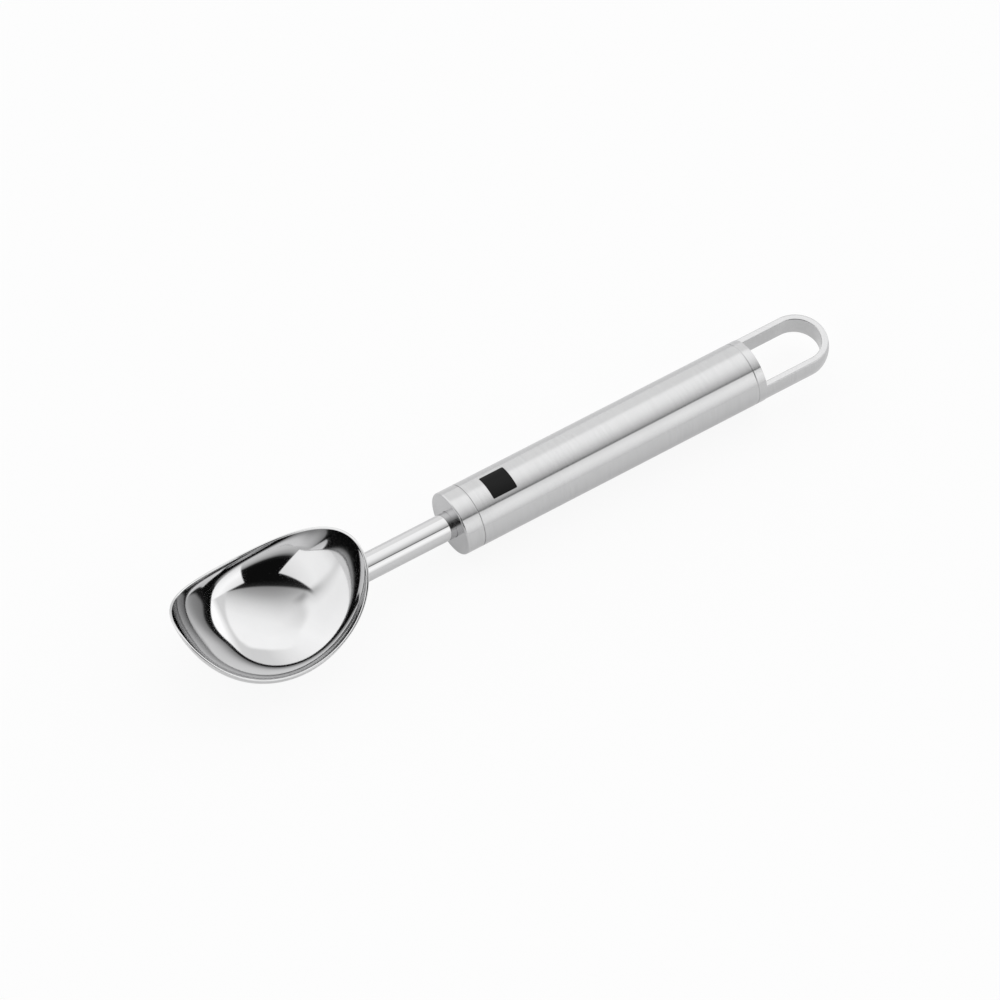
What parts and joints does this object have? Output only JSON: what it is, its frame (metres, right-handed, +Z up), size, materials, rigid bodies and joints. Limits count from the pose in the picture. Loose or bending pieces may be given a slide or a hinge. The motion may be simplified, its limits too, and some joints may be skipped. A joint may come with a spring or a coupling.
{
  "type": "ice cream scoop",
  "caption": "Polished steel ice cream scoop: a deep oval sheet bowl with a dipping rim, a straight rod neck, and a hollow brushed handle ending in a flat hanging loop.",
  "frame": {"origin": "on the surface the scoop lies on, below the middle of its overall box", "axes": "+X along the handle from the bowl to the hanging loop, +Z up through the bowl's mouth, Y across the bowl"},
  "size_m": [0.2154, 0.0422, 0.0246],
  "materials": {
    "polished_steel": "mirror polished stainless steel",
    "polished_rod": "polished drawn stainless steel rod",
    "weld_steel": "ground weld bead",
    "satin_steel": "turned stainless steel with a fine satin grain",
    "brushed_steel": "stainless steel tube brushed round its girth, with a plain dark etched square"
  },
  "bodies": {
    "root": {"scoop_bowl": "polished_steel", "neck_weld": "weld_steel", "neck_rod": "polished_rod", "front_cap": "satin_steel", "tang_weld": "weld_steel", "handle_tube": "brushed_steel", "loop_end_cap": "satin_steel"}
  },
  "joints": []
}
